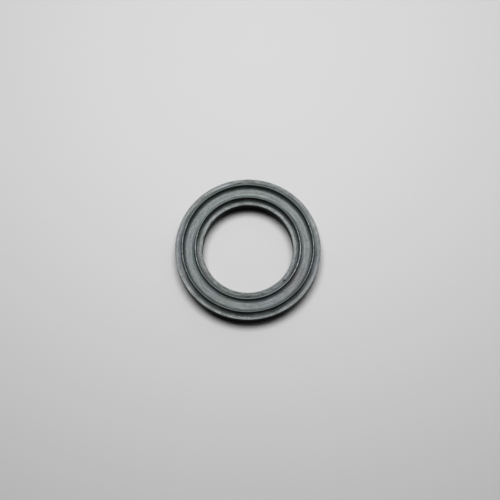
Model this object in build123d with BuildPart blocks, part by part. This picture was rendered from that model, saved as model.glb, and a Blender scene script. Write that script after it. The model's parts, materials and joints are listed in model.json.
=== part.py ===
from build123d import *
import os
from math import radians, tan

# A round rubber lip seal, moulded in one piece. All sizes are in millimetres.
# It lies on its flat heel with its two lips up. +Z runs up the axis of the bore, and the origin
# is the centre of the bore in the plane of the heel's flat face.

# Radial sizes, from the bore outwards. A shoulder is the ledge between a wall and a lip.
bore_radius = 7.80
inner_shoulder_width = 1.10
groove_width = 2.08
outer_shoulder_width = 1.12

# Heights. The heel is as high at its two walls and at the floor of the groove, and each
# shoulder falls a little from its wall to the foot of its lip.
heel_height = 2.53
lip_height = 0.90
shoulder_fall = 0.13

# The lips are two thin rings, upright beside the shoulders and leaning out towards the groove,
# so that each is thicker at its root than at its tip.
lip_tip_width = 0.20
groove_side_draft = 16.5

# Moulded radii
heel_edge_radius = 0.10
shoulder_edge_radius = 0.06
shoulder_root_radius = 0.76
tip_radius = 0.07
groove_root_radius = 0.53

# Where each lip's tip starts and ends, and the outer wall
inner_lip_start = bore_radius + inner_shoulder_width
inner_lip_end = inner_lip_start + lip_tip_width
outer_lip_start = inner_lip_end + groove_width
outer_lip_end = outer_lip_start + lip_tip_width
outer_radius = outer_lip_end + outer_shoulder_width

# The levels of the tips and of the shoulders' feet, and how far the groove's sides lean out
lip_top = heel_height + lip_height
shoulder_foot = heel_height - shoulder_fall
groove_side_flare = lip_height * tan(radians(groove_side_draft))

# The radius of each corner on the way up one half of the section, from its wall to its groove
corner_radii = [
    heel_edge_radius,
    shoulder_edge_radius,
    shoulder_root_radius,
    tip_radius,
    tip_radius,
    groove_root_radius,
]

with BuildPart() as seal_ring:
    # The ring's section: up the bore, over the inner lip, through the groove, over the outer lip
    # and down the outer wall. Its second half has the corners of the first in reverse.
    with BuildSketch(Plane.XZ) as section:
        with BuildLine() as outline:
            FilletPolyline(
                (bore_radius, 0),
                (bore_radius, heel_height),
                (inner_lip_start, shoulder_foot),
                (inner_lip_start, lip_top),
                (inner_lip_end, lip_top),
                (inner_lip_end + groove_side_flare, heel_height),
                (outer_lip_start - groove_side_flare, heel_height),
                (outer_lip_start, lip_top),
                (outer_lip_end, lip_top),
                (outer_lip_end, shoulder_foot),
                (outer_radius, heel_height),
                (outer_radius, 0),
                radius=corner_radii + corner_radii[::-1],
                close=True,
            )
        make_face()
    revolve(axis=Axis.Z)

os.makedirs("parts", exist_ok=True)
seal_ring.part.label = "seal_ring"
export_step(seal_ring.part, "parts/seal_ring.step")
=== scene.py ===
import json
from math import atan, cos, exp, hypot, pi, radians, sin, tan

import bmesh
import bpy
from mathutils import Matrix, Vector, noise


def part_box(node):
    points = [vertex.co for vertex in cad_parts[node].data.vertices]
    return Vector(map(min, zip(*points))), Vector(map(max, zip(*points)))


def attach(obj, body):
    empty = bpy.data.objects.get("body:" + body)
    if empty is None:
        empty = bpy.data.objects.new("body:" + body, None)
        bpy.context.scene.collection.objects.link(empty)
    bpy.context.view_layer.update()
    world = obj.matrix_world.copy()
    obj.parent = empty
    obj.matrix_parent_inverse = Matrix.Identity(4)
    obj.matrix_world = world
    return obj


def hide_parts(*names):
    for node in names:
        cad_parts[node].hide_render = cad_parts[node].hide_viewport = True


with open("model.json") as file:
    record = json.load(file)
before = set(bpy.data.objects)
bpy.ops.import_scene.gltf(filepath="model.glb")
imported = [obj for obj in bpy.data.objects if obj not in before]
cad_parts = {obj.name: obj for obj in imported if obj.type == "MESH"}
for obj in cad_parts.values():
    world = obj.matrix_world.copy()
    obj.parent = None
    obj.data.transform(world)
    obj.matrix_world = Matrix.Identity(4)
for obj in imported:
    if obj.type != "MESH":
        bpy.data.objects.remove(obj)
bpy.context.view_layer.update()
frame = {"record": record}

# The seal's section.
# A round lip seal is one moulding in black nitrile rubber: a flat heel with two thin lips on it,
# a rounded groove between the lips and a shoulder, which is a narrow ledge, beside each of them.
# Its section is drawn on the XZ plane: a block is cut, its lips are raised, its corners rounded.

mm = 0.001
same_place = 0.001 * mm

_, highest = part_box("seal_ring")
mounts = {mount["name"]: mount for mount in frame["record"]["mounts"]}
bore_radius = mounts["bore"]["dims"]["r_mm"] * mm
outer_radius = highest.x
lip_height = 0.90 * mm
heel_height = highest.z - lip_height

inner_shoulder_width = 1.10 * mm
groove_width = 2.08 * mm
outer_shoulder_width = 1.12 * mm
shoulder_fall = 0.13 * mm
groove_side_draft = radians(16.5)
heel_edge_radius = 0.10 * mm
shoulder_edge_radius = 0.06 * mm
shoulder_root_radius = 0.76 * mm
tip_radius = 0.07 * mm
groove_root_radius = 0.53 * mm

inner_tip_start = bore_radius + inner_shoulder_width
outer_tip_end = outer_radius - outer_shoulder_width
tip_width = (outer_tip_end - inner_tip_start - groove_width) / 2
inner_tip_end = inner_tip_start + tip_width
outer_tip_start = outer_tip_end - tip_width

groove_side_flare = lip_height * tan(groove_side_draft)
inner_root_end = inner_tip_end + groove_side_flare
outer_root_start = outer_tip_start - groove_side_flare

inner_shoulder_corner = pi / 2 - atan(shoulder_fall / inner_shoulder_width)
outer_shoulder_corner = pi / 2 - atan(shoulder_fall / outer_shoulder_width)
groove_corner = pi / 2 + groove_side_draft


def select_corners(piece, *corners):
    """Selects, in edit mode, just the points of the section that lie at those corners."""
    bpy.ops.mesh.select_all(action="DESELECT")
    edited = bmesh.from_edit_mesh(piece.data)
    for point in edited.verts:
        gaps = [hypot(point.co.x - x, point.co.z - z) for x, z in corners]
        point.select = min(gaps) < same_place
    edited.select_flush_mode()
    bmesh.update_edit_mesh(piece.data)


def round_corners(piece, radius, angle, steps, *corners):
    """Rounds corners of the section whose two sides meet at that angle."""
    select_corners(piece, *corners)
    reach = radius / tan(angle / 2)
    bpy.ops.mesh.bevel(offset=reach, segments=steps, affect="VERTICES", clamp_overlap=False)


bpy.ops.object.select_all(action="DESELECT")
bpy.ops.mesh.primitive_plane_add(size=1, rotation=(pi / 2, 0, 0))
bpy.ops.transform.resize(value=(outer_radius - bore_radius, 1, heel_height))
bpy.ops.transform.translate(value=((bore_radius + outer_radius) / 2, 0, heel_height / 2))
bpy.ops.object.transform_apply(location=True, rotation=True, scale=True)
seal = bpy.context.object
seal.name = "rubber_seal"
seal.data.name = "rubber_seal"

bpy.ops.object.mode_set(mode="EDIT")
bpy.ops.mesh.select_mode(type="VERT")
for lip_side in (inner_tip_start, inner_root_end, outer_root_start, outer_tip_end):
    bpy.ops.mesh.select_all(action="SELECT")
    bpy.ops.mesh.bisect(plane_co=(lip_side, 0, 0), plane_no=(1, 0, 0))

for shoulder_side, groove_side, groove_side_tip in (
    (inner_tip_start, inner_root_end, inner_tip_end),
    (outer_tip_end, outer_root_start, outer_tip_start),
):
    select_corners(seal, (shoulder_side, heel_height), (groove_side, heel_height))
    bpy.ops.mesh.extrude_region_move(TRANSFORM_OT_translate={"value": (0, 0, lip_height)})
    select_corners(seal, (groove_side, highest.z))
    bpy.ops.transform.translate(value=(groove_side_tip - groove_side, 0, 0))
    select_corners(seal, (shoulder_side, heel_height))
    bpy.ops.transform.translate(value=(0, 0, -shoulder_fall))

bpy.ops.mesh.select_all(action="SELECT")
bpy.ops.mesh.dissolve_faces()
bpy.ops.mesh.dissolve_limited(angle_limit=radians(1))

corner_steps = 4
tip_steps = 4
root_steps = 12
round_corners(seal, heel_edge_radius, pi / 2, corner_steps, (bore_radius, 0), (outer_radius, 0))
for wall_radius, lip_side, corner in (
    (bore_radius, inner_tip_start, inner_shoulder_corner),
    (outer_radius, outer_tip_end, outer_shoulder_corner),
):
    round_corners(seal, shoulder_edge_radius, corner, corner_steps, (wall_radius, heel_height))
    shoulder_foot = (lip_side, heel_height - shoulder_fall)
    round_corners(seal, shoulder_root_radius, corner, root_steps, shoulder_foot)
    round_corners(seal, tip_radius, pi / 2, tip_steps, (lip_side, highest.z))
for root, tip in ((inner_root_end, inner_tip_end), (outer_root_start, outer_tip_start)):
    round_corners(seal, groove_root_radius, groove_corner, root_steps, (root, heel_height))
    round_corners(seal, tip_radius, groove_corner, tip_steps, (tip, highest.z))

# The whole ring.
# The mould closes on the rubber all round, so the seal is its section turned about the bore.
# The straight runs are cut short first, because the small faults of the rubber need points.

walls_step = 0.30 * mm
top_step = 0.12 * mm
steps_around = 600


def cut_runs_short(piece, step, is_wanted):
    """Cuts each straight run of the section whose middle is wanted into steps of that length."""
    bpy.ops.mesh.select_mode(type="EDGE")
    while True:
        bpy.ops.mesh.select_all(action="DESELECT")
        edited = bmesh.from_edit_mesh(piece.data)
        edited.edges.ensure_lookup_table()
        long_runs = [
            run
            for run in edited.edges
            if run.calc_length() > step and is_wanted((run.verts[0].co + run.verts[1].co) / 2)
        ]
        if not long_runs:
            return
        long_runs[0].select_set(True)
        cuts = int(long_runs[0].calc_length() / step)
        bmesh.update_edit_mesh(piece.data)
        bpy.ops.mesh.subdivide(number_cuts=cuts)


bpy.ops.mesh.select_all(action="SELECT")
bpy.ops.mesh.delete(type="ONLY_FACE")
heel_middle = heel_height / 2
cut_runs_short(seal, walls_step, lambda middle: middle.z <= heel_middle + same_place)
cut_runs_short(seal, top_step, lambda middle: middle.z > heel_middle + same_place)
bpy.ops.object.mode_set(mode="OBJECT")
turning = seal.modifiers.new("turning", "SCREW")
turning.angle = 2 * pi
turning.steps = steps_around
turning.render_steps = steps_around
turning.use_merge_vertices = True
turning.merge_threshold = same_place
bpy.ops.object.modifier_apply(modifier="turning")
bpy.ops.object.mode_set(mode="EDIT")
bpy.ops.mesh.select_all(action="SELECT")
bpy.ops.mesh.normals_make_consistent(inside=False)
bpy.ops.object.mode_set(mode="OBJECT")
bpy.ops.object.shade_smooth()

# The small faults of the rubber.
# Rubber leaves its mould a little uneven: the thin lips wander in and out, the shoulders and the
# groove dip by hundredths of a millimetre, and a few nicks are where it was handled.

lip_wander = 0.035 * mm
lip_wander_length = 4 * mm
lip_sag = 0.03 * mm
lip_sag_length = 2.5 * mm
top_dip = 0.025 * mm
top_dip_length = 1.1 * mm
layer_gap = 17.3
nick_end = 3

# Each nick: degrees round the ring from +X, distance from the axis, half length, half width and
# depth. It has died out at nick_end times its half length and half width.
nicks = (
    (270.5, 8.47 * mm, 0.30 * mm, 0.10 * mm, 0.05 * mm),
    (287, 8.40 * mm, 0.12 * mm, 0.11 * mm, 0.03 * mm),
    (291, 8.45 * mm, 0.10 * mm, 0.10 * mm, 0.03 * mm),
    (317.5, 8.42 * mm, 0.15 * mm, 0.13 * mm, 0.07 * mm),
    (247, 8.45 * mm, 0.10 * mm, 0.10 * mm, 0.03 * mm),
    (97.5, 11.88 * mm, 0.50 * mm, 0.07 * mm, 0.05 * mm),
)


def fault(place, length, layer):
    """A smooth fault from -1 to 1 that changes over that length; each layer has its own."""
    return noise.noise(place / length + Vector((0, 0, layer_gap * layer)))


for point in seal.data.vertices:
    if point.co.z < heel_middle:
        continue
    from_axis = Vector((point.co.x, point.co.y, 0))
    outward = from_axis.normalized()
    on_top = min(1, (point.co.z - heel_middle) / (heel_height - heel_middle)) ** 2
    up_the_lip = max(0, (point.co.z - heel_height) / lip_height)
    drop = top_dip * (0.5 + 0.5 * fault(from_axis, top_dip_length, layer=1)) * on_top
    drop += lip_sag * (0.5 + 0.5 * fault(from_axis, lip_sag_length, layer=2)) * up_the_lip
    for turn, distance, half_length, half_width, depth in nicks:
        nick_way = Vector((cos(radians(turn)), sin(radians(turn)), 0))
        along_gap = (outward - nick_way).length * distance / half_length
        reach = hypot(along_gap, (from_axis.length - distance) / half_width)
        if reach < nick_end:
            drop += depth * exp(-reach * reach) * on_top
    wander = lip_wander * fault(from_axis, lip_wander_length, layer=3) * up_the_lip**2
    point.co += outward * wander - Vector((0, 0, drop))

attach(seal, "root")
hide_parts("seal_ring")

# The rubber.
# Black nitrile rubber with a satin face, finely ringed by the turned mould and very finely grained.
# Its grey bloom lies in clouds on the top, a little warmer on one side, with painted light and
# shade mixed into the clouds and the lips. The walls below are painted nearly black in front and
# behind and towards their foot, a painted shade, and greyer at the two sides, a painted light; the
# underside is plain.


class Pattern:
    """One output of a node in a material, so that a pattern can be written as a sum."""

    def __init__(self, material, socket):
        self.material = material
        self.socket = socket

    def node(self, kind, settings, sockets, output=0):
        """Adds a node, makes its settings, fills or links its sockets and gives one output."""
        added = self.material.node_tree.nodes.new(kind)
        for name, value in settings.items():
            setattr(added, name, value)
        for name, value in sockets.items():
            if isinstance(value, Pattern):
                self.material.node_tree.links.new(value.socket, added.inputs[name])
            else:
                added.inputs[name].default_value = value
        return Pattern(self.material, added.outputs[output])

    def maths(self, operation, first, second):
        """Two numbers, put through one operation."""
        return self.node("ShaderNodeMath", {"operation": operation}, {0: first, 1: second})

    def __add__(self, other):
        return self.maths("ADD", self, other)

    def __radd__(self, other):
        return self.maths("ADD", other, self)

    def __sub__(self, other):
        return self.maths("SUBTRACT", self, other)

    def __rsub__(self, other):
        return self.maths("SUBTRACT", other, self)

    def __mul__(self, other):
        return self.maths("MULTIPLY", self, other)

    def __rmul__(self, other):
        return self.maths("MULTIPLY", other, self)

    def part(self, index):
        """One number of this vector: 0 for X, 1 for Y or 2 for Z."""
        return self.node("ShaderNodeSeparateXYZ", {}, {0: self}, output=index)

    def vector_maths(self, operation, *others, output="Vector"):
        """This vector and up to two others, put through one operation."""
        sockets = dict(enumerate((self, *others)))
        return self.node("ShaderNodeVectorMath", {"operation": operation}, sockets, output)

    def noise(self, size, detail):
        """Soft noise from 0 to 1 over this place, in cells of that size."""
        values = {"Vector": self, "Scale": 1 / size, "Detail": detail}
        return self.node("ShaderNodeTexNoise", {}, values)

    def between(self, low, high):
        """0 where this is at or below low, 1 where it is at or above high, smooth between."""
        settings = {"interpolation_type": "SMOOTHSTEP"}
        values = {"Value": self, "From Min": low, "From Max": high}
        return self.node("ShaderNodeMapRange", settings, values)

    def mix(self, share, first, second):
        """A blend of two colours, by share; a share above 1 goes past the second."""
        settings = {"data_type": "RGBA", "clamp_factor": False}
        return self.node("ShaderNodeMix", settings, {0: share, 6: first, 7: second}, output=2)


rubber = bpy.data.materials.new("nitrile_rubber")
rubber.use_nodes = True
rubber_shader = rubber.node_tree.nodes["Principled BSDF"]
rubber_shader.inputs["Specular IOR Level"].default_value = 0.46

coordinates = rubber.node_tree.nodes.new("ShaderNodeTexCoord")
geometry = rubber.node_tree.nodes.new("ShaderNodeNewGeometry")
place = Pattern(rubber, coordinates.outputs["Object"])
tilt = Pattern(rubber, geometry.outputs["Normal"]).part(2)
up = place.part(2)
flat_place = place.node("ShaderNodeCombineXYZ", {}, {0: place.part(0), 1: place.part(1)})
radius = flat_place.vector_maths("LENGTH", output="Value")
heading = flat_place.vector_maths("NORMALIZE")
sideways = heading.part(0)

# From 0 in front and behind to 1 at the two sides of the ring.
sideness = sideways * sideways


def ring_marks(width, length, detail):
    """Noise drawn out along the ring, in marks of that width and length."""
    cells_around = outer_radius / length
    outwards = place.node("ShaderNodeCombineXYZ", {}, {2: (radius + up) * (1 / width)})
    stretched = heading.vector_maths("MULTIPLY_ADD", (cells_around, cells_around, 0), outwards)
    return stretched.noise(1, detail)


def band(fade_in_start, fade_in_end, fade_out_start, fade_out_end):
    """1 on a band all round the ring, between four distances from the axis."""
    fade_out = radius.between(fade_out_start, fade_out_end)
    return radius.between(fade_in_start, fade_in_end) * (1 - fade_out)


def spot(turn, distance, half_length, half_width):
    """1 at one spot of the ring, falling smoothly to 0 at its ends and its sides."""
    middle = (cos(radians(turn)), sin(radians(turn)), 0)
    gap = heading.vector_maths("DISTANCE", middle, output="Value")
    gaps = {0: gap * (distance / half_length), 1: (radius - distance) * (1 / half_width)}
    both = place.node("ShaderNodeCombineXYZ", {}, gaps)
    return 1 - both.vector_maths("LENGTH", output="Value").between(0, 1)


def swing(pattern, strength):
    """A pattern from 0 to 1, made to swing about 0 with that strength."""
    return (pattern - 0.5) * strength


# What covers the whole ring: the mould's rings, the clouds and specks of bloom, and the grain.
fine_rings = ring_marks(width=0.20 * mm, length=2.0 * mm, detail=2)
broad_rings = ring_marks(width=0.5 * mm, length=12 * mm, detail=2)
# Noise for the beads of painted highlight along the tips of the lips.
highlight_bead_noise = ring_marks(width=1 * mm, length=0.35 * mm, detail=0)
mottle = place.noise(size=0.38 * mm, detail=3)
bloom = place.noise(size=2.2 * mm, detail=3)
grain = place.noise(size=0.15 * mm, detail=2)

# Where the bloom changes from band to band. The bands at the inner shoulder's foot and on the
# outer lip's groove side are painted shade in these creases, and the band on the inner lip's groove
# side is painted light. The witness line is the faint mark that a joint of the mould leaves near
# the middle of the groove.
shoulder_blend = 0.15 * mm
outer_shoulder = radius.between(outer_tip_end, outer_tip_end + shoulder_blend)
inner_shoulder = 1 - radius.between(inner_tip_start - shoulder_blend, inner_tip_start)
on_shoulder = outer_shoulder + inner_shoulder
shaded_inner_shoulder_foot = band(8.5 * mm, 8.7 * mm, 8.8 * mm, 8.9 * mm)
lit_inner_groove_side = band(9.15 * mm, 9.35 * mm, 9.6 * mm, 9.9 * mm)
witness_line = band(10.12 * mm, 10.22 * mm, 10.24 * mm, 10.34 * mm)
shaded_outer_groove_side = band(10.6 * mm, 10.8 * mm, 11.0 * mm, 11.1 * mm)

# Faces that look up are paler than steep ones, partly by bloom and partly as painted light, the
# steep faces being painted in shade. The tips of the lips are painted dark, a painted shade, apart
# from beads of painted highlight at the two sides, which are also made glossier.
tip_shade_strength = 0.8
on_tip = up.between(highest.z - 0.20 * mm, highest.z - 0.08 * mm)
lit_tip_sides = sideness.between(0.55, 0.97)
highlight_beads = (highlight_bead_noise + lit_tip_sides * 0.2).between(0.52, 0.75)
polish = on_tip * lit_tip_sides * highlight_beads
shaded_tip = on_tip * (1 - lit_tip_sides * highlight_beads)
pale_top_share = tilt.between(0.1, 0.75) * (1 - shaded_tip * tip_shade_strength)

# The walls are all that lies below the top edge of the heel, apart from the underside. At the two
# sides of the ring they are painted greyer, a painted light, the bore's wall less than the outer
# one, and their lower part is painted near black, a painted shade.
bore_wall_light_share = 0.5
off_underside = tilt.between(-0.8, -0.4)
on_wall = off_underside * (1 - up.between(0.94 * heel_height, heel_height))
shaded_lower_wall = 1 - up.between(0.6 * heel_height, 0.95 * heel_height)
wall_light_share = bore_wall_light_share + (1 - bore_wall_light_share) * outer_shoulder
lit_wall_sides = sideness.between(0.10, 0.60) * wall_light_share

# Patches paler or darker than the rest: degrees round the ring from +X, distance from the axis,
# half length, half width and strength, which is above 0 where paler and below 0 where darker. They
# mix real clouds of the bloom with painted light and shade; the strong ones along the roots of the
# lips and on the outer edge are painted light and shade.
outer_shoulder_patches = (
    (18, 11.75 * mm, 4 * mm, 0.45 * mm, 0.75),
    (20, 11.45 * mm, 1.5 * mm, 0.3 * mm, -0.60),
    (48, 12.25 * mm, 1.5 * mm, 0.25 * mm, 0.50),
    (60, 11.95 * mm, 6 * mm, 0.6 * mm, -0.40),
    (69, 12.25 * mm, 1.2 * mm, 0.25 * mm, 0.50),
    (98, 12.3 * mm, 1.5 * mm, 0.25 * mm, 0.60),
    (113, 11.91 * mm, 2.6 * mm, 0.35 * mm, 1.30),
    (116, 11.65 * mm, 3.5 * mm, 0.25 * mm, -1.10),
    (138, 11.75 * mm, 1.5 * mm, 0.4 * mm, 0.70),
    (166, 11.7 * mm, 3.5 * mm, 0.3 * mm, 0.70),
    (180, 11.8 * mm, 7 * mm, 0.7 * mm, 0.35),
    (196, 11.68 * mm, 4 * mm, 0.4 * mm, 1.00),
    (212, 11.8 * mm, 5 * mm, 0.6 * mm, 0.35),
    # This patch and the one at 320 degrees are a painted highlight along the outer edge at the near
    # sides.
    (213, 12.49 * mm, 9 * mm, 0.16 * mm, 1.20),
    (253, 11.8 * mm, 3 * mm, 0.8 * mm, -0.35),
    (277, 11.7 * mm, 0.8 * mm, 0.4 * mm, 0.45),
    (288, 12.0 * mm, 3 * mm, 0.6 * mm, -0.25),
    (320, 12.49 * mm, 9 * mm, 0.16 * mm, 1.20),
    (345, 11.7 * mm, 6 * mm, 0.6 * mm, 0.45),
)
groove_patches = (
    (25, 10.35 * mm, 5 * mm, 0.3 * mm, 0.50),
    (45, 10.1 * mm, 6 * mm, 0.5 * mm, 0.30),
    (82, 9.68 * mm, 6 * mm, 0.25 * mm, 0.90),
    (148, 9.29 * mm, 9 * mm, 0.37 * mm, 3.40),
    (236, 9.27 * mm, 10 * mm, 0.45 * mm, 2.60),
    (262, 9.9 * mm, 3.5 * mm, 0.8 * mm, 0.25),
    (300, 10.85 * mm, 13 * mm, 0.25 * mm, 1.30),
    (310, 9.07 * mm, 11 * mm, 0.4 * mm, 2.40),
    (322, 9.9 * mm, 6 * mm, 0.9 * mm, -0.60),
    (322, 10.1 * mm, 2.5 * mm, 0.3 * mm, 0.60),
    (353, 9.25 * mm, 5 * mm, 0.3 * mm, 1.30),
    (357, 10.93 * mm, 4 * mm, 0.25 * mm, 1.20),
)
inner_shoulder_patches = (
    (20, 8.1 * mm, 4 * mm, 0.6 * mm, 0.25),
    (35, 8.7 * mm, 2.5 * mm, 0.5 * mm, -0.30),
    (45, 8.1 * mm, 1 * mm, 0.4 * mm, 0.50),
    (62, 8.62 * mm, 5.5 * mm, 0.35 * mm, -0.70),
    (86, 7.95 * mm, 4 * mm, 0.35 * mm, -0.45),
    (102, 8.7 * mm, 1.8 * mm, 0.4 * mm, -0.90),
    (136, 8.75 * mm, 4 * mm, 0.45 * mm, -0.70),
    (145, 8.15 * mm, 3.5 * mm, 0.5 * mm, 0.25),
    (182, 8.75 * mm, 2.2 * mm, 0.5 * mm, 1.20),
    (200, 8.55 * mm, 3 * mm, 0.3 * mm, 0.50),
    (215, 8.1 * mm, 1.8 * mm, 0.4 * mm, -0.50),
    (232, 8.2 * mm, 4.5 * mm, 0.6 * mm, -0.30),
    (248, 7.8 * mm, 2 * mm, 0.3 * mm, 0.60),
    (268, 8.5 * mm, 4 * mm, 0.3 * mm, -0.40),
    (274, 8.2 * mm, 4.5 * mm, 0.6 * mm, -0.50),
    (304, 8.15 * mm, 3 * mm, 0.35 * mm, -0.50),
    (312, 8.75 * mm, 3.5 * mm, 0.5 * mm, 0.40),
    (335, 8.0 * mm, 2.0 * mm, 0.4 * mm, 0.25),
)

cloudiness_in_groove = 0.5
clouds_and_painted_light = swing(bloom, 0.7) + swing(mottle, 1.0)
patches = outer_shoulder_patches + groove_patches + inner_shoulder_patches
for turn, distance, half_length, half_width, strength in patches:
    clouds_and_painted_light = clouds_and_painted_light + spot(turn, distance, half_length, half_width) * strength
cloudiness = cloudiness_in_groove + (1 - cloudiness_in_groove) * on_shoulder
fine_ring_strength = 1.4 + 0.5 * on_shoulder
streaks = swing(fine_rings, fine_ring_strength) + swing(broad_rings, 0.6) + swing(grain, 1.8)
shade = 0.5 + clouds_and_painted_light * cloudiness + streaks
# Painted shade at the feet of the lips, painted light on the inner lip's groove side, and the real
# witness line.
for mark, strength in (
    (shaded_inner_shoulder_foot, -0.15),
    (lit_inner_groove_side, 0.30),
    (witness_line, -0.12),
    (shaded_outer_groove_side, -0.15),
):
    shade = shade + mark * strength

# Each nick is dull and dark as well, out to pit_spread times its half length and half width.
pit_spread = 2.2
full_pit_depth = 0.06 * mm
pits = 0
for turn, distance, half_length, half_width, depth in nicks:
    pit = spot(turn, distance, pit_spread * half_length, pit_spread * half_width)
    pits = pits + pit * (depth / full_pit_depth)
pits = pits * pale_top_share
shade = shade - pits

# The colours of the bare rubber on the walls and under the bloom, then those of the bloom. The
# wall's near black is painted shade and the grey of its sides is painted light.
shaded_wall_black = (0.011, 0.016, 0.016, 1)
flank_rubber = (0.026, 0.034, 0.033, 1)
lit_side_wall_grey = (0.155, 0.165, 0.163, 1)
groove_bloom = (0.088, 0.106, 0.105, 1)
shoulder_bloom = (0.102, 0.108, 0.109, 1)
green_bloom = (0.090, 0.110, 0.098, 1)
blue_bloom = (0.092, 0.101, 0.114, 1)
warm_bloom = (0.108, 0.103, 0.106, 1)

# The green clouds are read from another place in the noise, so that they don't follow the blue.
far_from_blue = (0.4, 0.1, 0)
green_place = place.vector_maths("ADD", far_from_blue)
blue_clouds = place.noise(size=5 * mm, detail=1).between(0.50, 0.62)
green_clouds = green_place.noise(size=6 * mm, detail=1).between(0.50, 0.62)
green_patch = spot(258, 8.2 * mm, 8 * mm, 1.3 * mm)
warm_patch = spot(325, 10 * mm, 4.5 * mm, 2.8 * mm)
pale = place.mix(on_shoulder, groove_bloom, shoulder_bloom)
for share, tinge in (
    (0.7 * blue_clouds, blue_bloom),
    (0.5 * green_clouds, green_bloom),
    (0.8 * green_patch, green_bloom),
    (warm_patch, warm_bloom),
):
    pale = place.mix(share, pale, tinge)

# Painted shade and light on the wall: near black towards its foot, greyer at the two sides.
wall = place.mix(shaded_lower_wall, flank_rubber, shaded_wall_black)
wall = place.mix(lit_wall_sides, wall, lit_side_wall_grey)
dark = place.mix(on_wall, flank_rubber, wall)
dark = place.mix(pits, dark, shaded_wall_black)
paleness = shade.maths("MAXIMUM", shade, 0) * pale_top_share
colour = place.mix(paleness, dark, pale)
rubber.node_tree.links.new(colour.socket, rubber_shader.inputs["Base Color"])

satin = 0.53
dullness = 0.3
bead_shine = 0.16
shade_shine = 0.08 + 0.04 * on_shoulder
dull_wall = on_wall * shaded_lower_wall * (1 - lit_wall_sides)
roughness = satin - swing(shade, shade_shine)
roughness = roughness + (dull_wall + pits) * dullness - polish * bead_shine
rubber.node_tree.links.new(roughness.socket, rubber_shader.inputs["Roughness"])

relief_depth = 0.03 * mm
height = fine_rings * 0.4 + mottle * 0.4 + grain * 0.2
bumps = {"Strength": 1.0, "Distance": relief_depth, "Height": height}
relief = place.node("ShaderNodeBump", {}, bumps)
rubber.node_tree.links.new(relief.socket, rubber_shader.inputs["Normal"])
seal.data.materials.append(rubber)

# The floor.
# The seal lies by itself on a plain table top, painted a pale silver grey.

table_width = 8
silver_grey = (0.242, 0.242, 0.242, 1)

bpy.ops.object.select_all(action="DESELECT")
bpy.ops.mesh.primitive_plane_add(size=table_width)
floor = bpy.context.object
floor.name = "floor"
floor_paint = bpy.data.materials.new("floor_paint")
floor_paint.use_nodes = True
floor_shader = floor_paint.node_tree.nodes["Principled BSDF"]
floor_shader.inputs["Base Color"].default_value = silver_grey
floor_shader.inputs["Metallic"].default_value = 0.554
floor_shader.inputs["Roughness"].default_value = 0.62
floor.data.materials.append(floor_paint)

# The light.
# Two large soft lamps hang over the table, both towards its far side, and a white room adds a
# little light from all round.

lamp_distance = 0.6
room_strength = 0.0205

# Each lamp: its name, its lean across and back in degrees, its half spread in degrees as seen from
# the seal, its height as a share of its width, and its power.
for name, across_angle, back_angle, spread, squareness, power in (
    ("main_lamp", -1.0, 20.6, 22.7, 0.61, 5.64),
    ("back_lamp", 17.6, 33.8, 39.3, 1.12, 2.13),
):
    way = Vector((tan(radians(across_angle)), tan(radians(back_angle)), 1)).normalized()
    bpy.ops.object.light_add(type="AREA", location=way * lamp_distance)
    lamp = bpy.context.object
    lamp.name = name
    lamp.rotation_euler = way.to_track_quat("Z", "Y").to_euler()
    lamp.data.shape = "ELLIPSE"
    lamp.data.size = 2 * lamp_distance * tan(radians(spread))
    lamp.data.size_y = lamp.data.size * squareness
    lamp.data.energy = power

world = bpy.data.worlds.new("room")
bpy.context.scene.world = world
world.use_nodes = True
background = world.node_tree.nodes["Background"]
background.inputs["Color"].default_value = (1, 1, 1, 1)
background.inputs["Strength"].default_value = room_strength
bpy.context.scene.view_settings.view_transform = "Standard"
bpy.context.scene.view_settings.look = "Medium High Contrast"

# The camera.
# It looks down at the seal from in front, fifteen degrees off the upright.

camera_height_angle = radians(74.8)
camera_distance = 0.2023
picture_width = 0.08594
aim = Vector((0.00036, -0.00027, heel_height))
toward_camera = Vector((0, -cos(camera_height_angle), sin(camera_height_angle)))
bpy.ops.object.camera_add(
    location=aim + toward_camera * camera_distance, rotation=(pi / 2 - camera_height_angle, 0, 0)
)
camera = bpy.context.object
camera.name = "camera"
camera.data.angle = 2 * atan(picture_width / 2 / camera_distance)
bpy.context.scene.camera = camera
